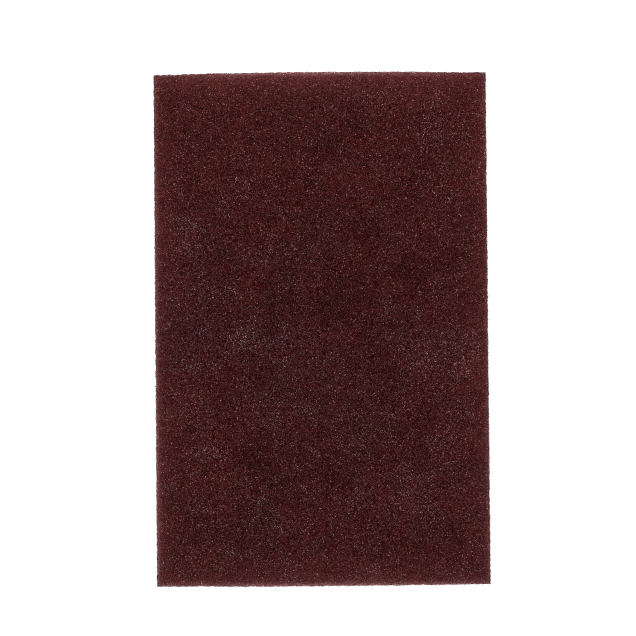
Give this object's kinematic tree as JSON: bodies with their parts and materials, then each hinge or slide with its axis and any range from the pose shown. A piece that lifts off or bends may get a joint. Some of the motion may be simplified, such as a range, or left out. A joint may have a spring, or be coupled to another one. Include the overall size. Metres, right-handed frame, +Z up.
{
  "type": "non-woven hand pad",
  "caption": "Flat rectangular pad of lofty fibre web coated with abrasive resin, held under the hand to scuff, clean or blend a surface.",
  "frame": {"origin": "centre of the flat underside, which lies on the bench", "axes": "+Z up through the pad's thickness, +Y along its long sides to the end that is at the top of the picture, +X across its width to the right"},
  "size_m": [0.1504, 0.2318, 0.0065],
  "materials": {
    "abrasive_web": "matt tangle of crimped nylon fibres in dark maroon resin, with dark pores and fine pale glints of grain"
  },
  "bodies": {
    "root": {"web_pad": "abrasive_web"}
  },
  "joints": []
}
